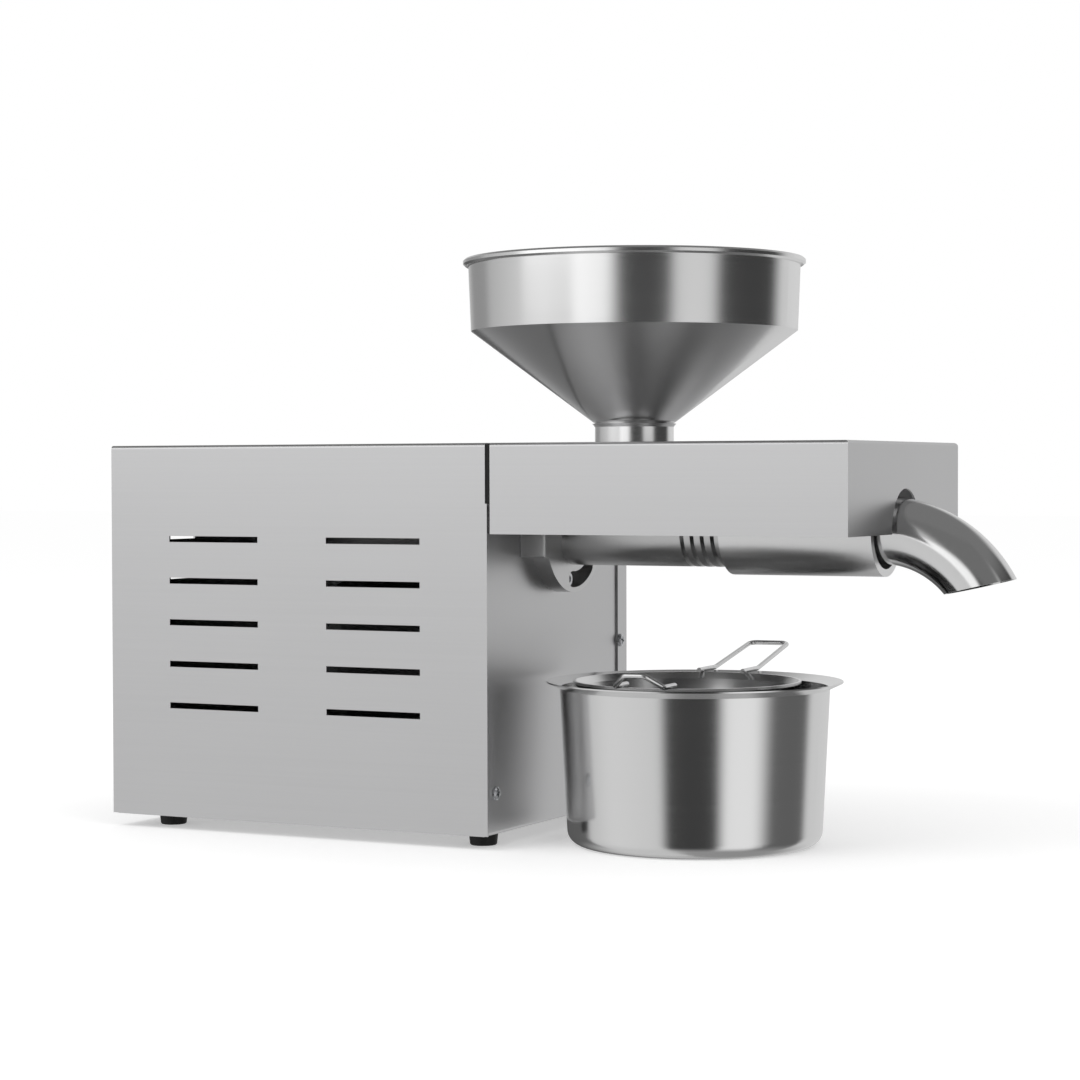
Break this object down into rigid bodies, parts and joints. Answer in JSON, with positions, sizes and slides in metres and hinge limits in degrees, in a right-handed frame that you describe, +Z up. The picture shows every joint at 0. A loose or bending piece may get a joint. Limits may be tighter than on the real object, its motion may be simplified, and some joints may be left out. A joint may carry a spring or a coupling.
{
  "type": "screw oil press",
  "caption": "Tabletop screw oil press: a boxed geared motor turns a helical screw in a slotted barrel under a feed hopper, with a bent residue outlet, oil pot and strainer.",
  "frame": {"origin": "on the ground under the middle of the whole object's box", "axes": "+X along the barrel from the housing to the residue outlet, +Y to the control panel side, +Z up"},
  "size_m": [0.564, 0.2461, 0.355],
  "materials": {
    "stainless_sheet": "satin",
    "polished_stainless": "polished",
    "machined_steel": "machined",
    "gear_steel": "oiled",
    "zinc_steel": "zinc plated",
    "cast_alloy": "as cast",
    "lamination_steel": "laminated",
    "copper_winding": "enamelled wire",
    "black_rubber": "matte",
    "black_plastic": "fine texture",
    "grey_plastic": "smooth",
    "board_green": "solder resist",
    "dark_glass": "smoked window",
    "heater_mica": "mica band",
    "brass": "bright"
  },
  "bodies": {
    "frame": {"chassis": "stainless_sheet", "wrap_cover": "stainless_sheet", "arm_rail_front": "stainless_sheet", "arm_rail_rear": "stainless_sheet", "residue_elbow": "polished_stainless", "socket_flange": "machined_steel", "press_barrel": "machined_steel", "front_sleeve": "machined_steel", "choke_ring": "machined_steel", "feed_collar": "machined_steel", "output_bearing": "gear_steel", "thrust_bearing": "gear_steel", "cover_screws": "zinc_steel", "foot_screws": "zinc_steel", "flange_bolts": "zinc_steel", "clamp_bolt": "zinc_steel", "motor_cradle": "zinc_steel", "gearbox_case": "cast_alloy", "gearbox_plate": "cast_alloy", "motor_end_bell_drive": "cast_alloy", "motor_end_bell_fan": "cast_alloy", "motor_stator": "lamination_steel", "motor_winding_drive": "copper_winding", "motor_winding_fan": "copper_winding", "foot_front_right": "black_rubber", "foot_front_left": "black_rubber", "foot_rear_right": "black_rubber", "foot_rear_left": "black_rubber", "arm_seal": "black_rubber", "control_panel": "black_plastic", "power_switch_case": "black_plastic", "direction_switch_case": "black_plastic", "power_inlet": "black_plastic", "control_board": "board_green", "display_window": "dark_glass", "band_heater": "heater_mica", "inlet_pins": "brass"},
    "screw_drive": {"output_gear": "gear_steel", "output_shaft": "machined_steel", "press_screw": "machined_steel"},
    "idler_cluster": {"idler_shaft": "gear_steel", "idler_gear": "gear_steel", "idler_pinion": "gear_steel"},
    "motor_rotor": {"motor_shaft": "gear_steel", "rotor_core": "lamination_steel", "motor_pinion": "gear_steel", "cooling_fan": "grey_plastic"},
    "arm_cover": {"arm_cover": "stainless_sheet"},
    "hopper": {"hopper_bowl": "polished_stainless", "hopper_neck": "polished_stainless"},
    "oil_pot": {"oil_pot": "polished_stainless"},
    "strainer": {"strainer_bowl": "polished_stainless", "strainer_handle": "polished_stainless", "strainer_ear": "polished_stainless"},
    "power_rocker": {"power_rocker": "black_plastic"},
    "direction_rocker": {"direction_rocker": "black_plastic"},
    "power_key": {"power_key": "grey_plastic"},
    "heat_key": {"heat_key": "grey_plastic"},
    "minus_key": {"minus_key": "grey_plastic"},
    "plus_key": {"plus_key": "grey_plastic"}
  },
  "joints": [
    {"name": "screw_spin", "type": "hinge", "parent": "frame", "child": "screw_drive", "pos_m": [-0.00997, -0.01806, 0.19], "axis": [1, 0, 0], "continuous": true},
    {"name": "idler_spin", "type": "hinge", "parent": "frame", "child": "idler_cluster", "pos_m": [-0.00997, -0.01806, 0.14275], "axis": [1, 0, 0], "continuous": true},
    {"name": "rotor_spin", "type": "hinge", "parent": "frame", "child": "motor_rotor", "pos_m": [-0.00997, -0.01806, 0.10525], "axis": [1, 0, 0], "continuous": true},
    {"name": "arm_cover_lift", "type": "slide", "parent": "frame", "child": "arm_cover", "axis": [0, 0, 1], "range_m": [0, 0.12]},
    {"name": "hopper_lift", "type": "slide", "parent": "arm_cover", "child": "hopper", "axis": [0, 0, 1], "range_m": [0, 0.12]},
    {"name": "oil_pot_slide", "type": "slide", "parent": "frame", "child": "oil_pot", "axis": [0, -1, 0], "range_m": [0, 0.25]},
    {"name": "strainer_lift", "type": "slide", "parent": "oil_pot", "child": "strainer", "axis": [0, 0, 1], "range_m": [0, 0.045]},
    {"name": "power_rocker_tilt", "type": "hinge", "parent": "frame", "child": "power_rocker", "pos_m": [-0.10597, 0.08134, 0.15], "axis": [1, 0, 0], "range_deg": [0, 16]},
    {"name": "direction_rocker_tilt", "type": "hinge", "parent": "frame", "child": "direction_rocker", "pos_m": [-0.12797, 0.08134, 0.15], "axis": [1, 0, 0], "range_deg": [-8, 8]},
    {"name": "power_key_press", "type": "slide", "parent": "frame", "child": "power_key", "axis": [0, -1, 0], "range_m": [0, 0.001], "stiffness_N_per_m": 600},
    {"name": "heat_key_press", "type": "slide", "parent": "frame", "child": "heat_key", "axis": [0, -1, 0], "range_m": [0, 0.001], "stiffness_N_per_m": 600},
    {"name": "minus_key_press", "type": "slide", "parent": "frame", "child": "minus_key", "axis": [0, -1, 0], "range_m": [0, 0.001], "stiffness_N_per_m": 600},
    {"name": "plus_key_press", "type": "slide", "parent": "frame", "child": "plus_key", "axis": [0, -1, 0], "range_m": [0, 0.001], "stiffness_N_per_m": 600}
  ],
  "couplings": [
    {"joint": "idler_spin", "follows": "screw_spin", "ratio": -3.5},
    {"joint": "rotor_spin", "follows": "screw_spin", "ratio": 14}
  ]
}
